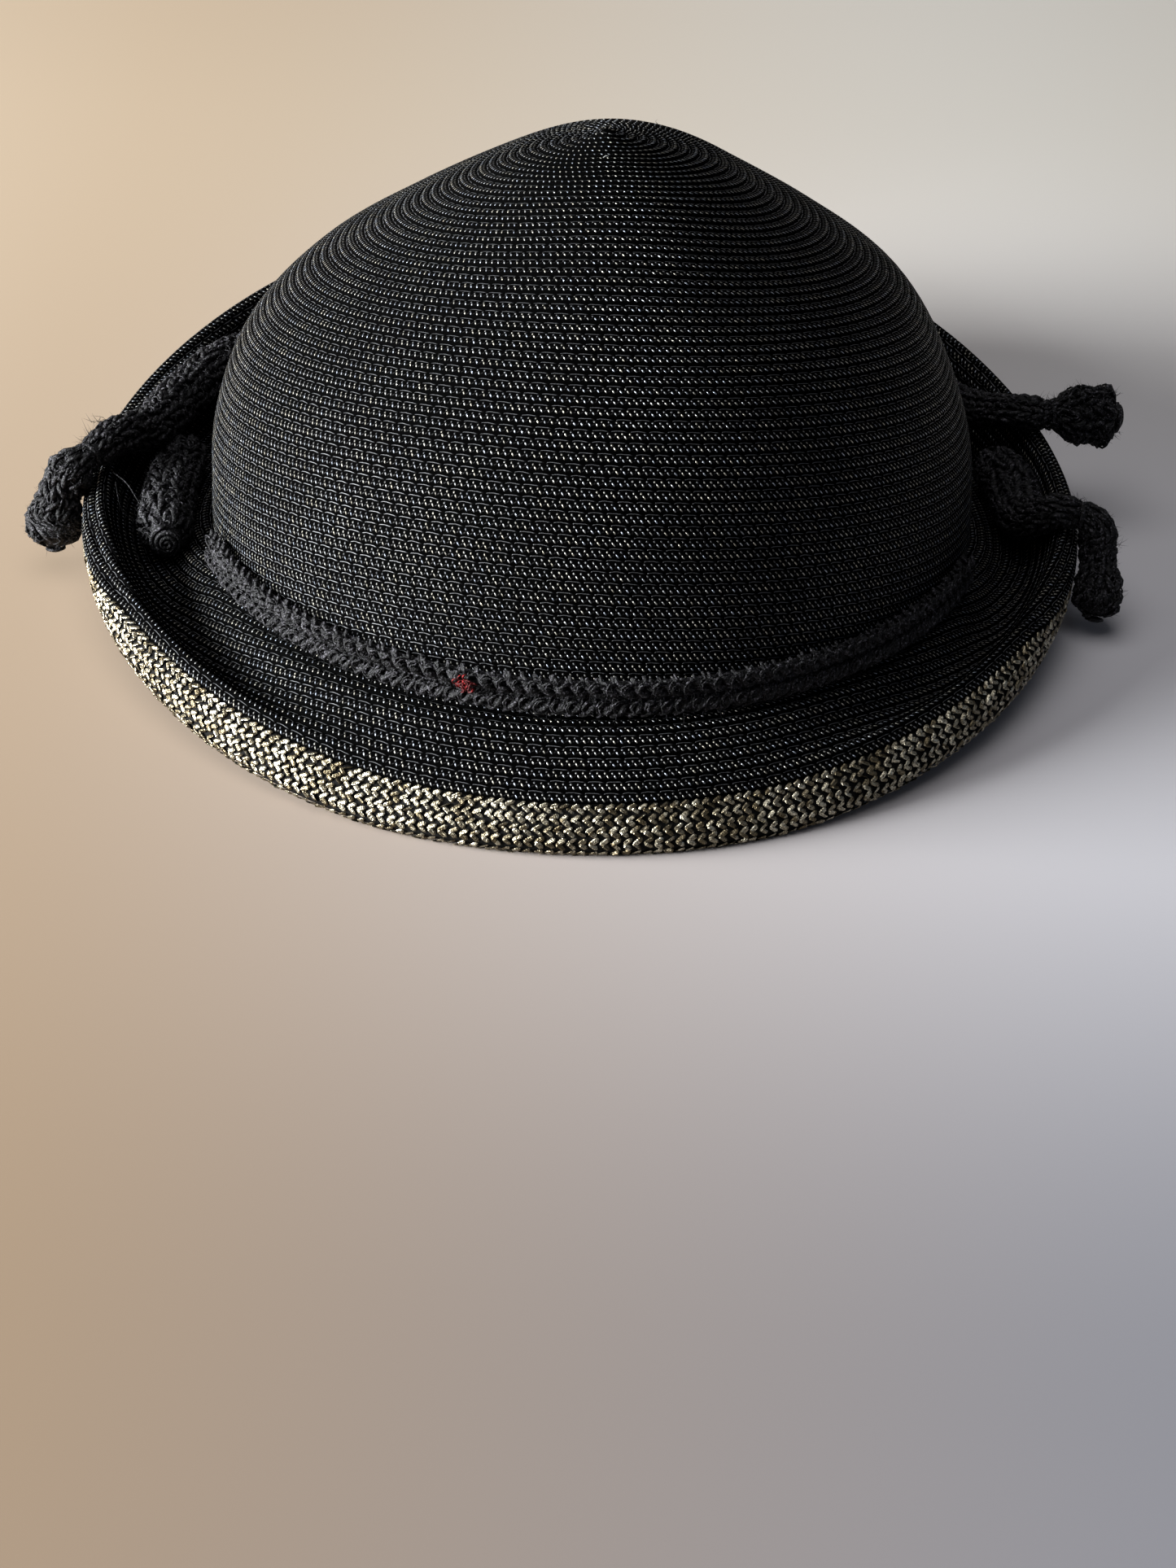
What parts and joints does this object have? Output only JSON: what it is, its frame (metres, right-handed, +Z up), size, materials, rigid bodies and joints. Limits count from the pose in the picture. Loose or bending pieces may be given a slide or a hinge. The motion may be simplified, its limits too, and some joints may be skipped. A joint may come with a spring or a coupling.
{
  "type": "straw hat",
  "caption": "Small domed hat of narrow black straw braid sewn in lapped rows, with a turned-up brim, a rolled metallic edge, a crocheted band and knotted cord ends.",
  "frame": {"origin": "middle of the hat's footprint, on the surface it rests on", "axes": "+Z up, out of the crown's top; -Y is the near side, where the brim dips to the surface; +Y the far side, where it is rolled up highest; +X to the right as seen from the near side"},
  "size_m": [0.2384, 0.2262, 0.0973],
  "materials": {
    "black_straw": "glossy",
    "gold_braid": "metallic",
    "black_yarn": "matte"
  },
  "bodies": {
    "root": {"crown": "black_straw", "brim": "black_straw", "edge_braid": "gold_braid", "base_band": "black_yarn", "far_cord": "black_yarn", "left_finger": "black_yarn", "right_finger": "black_yarn", "left_knob": "black_yarn", "upper_right_knob": "black_yarn", "lower_right_knob": "black_yarn"}
  },
  "joints": []
}
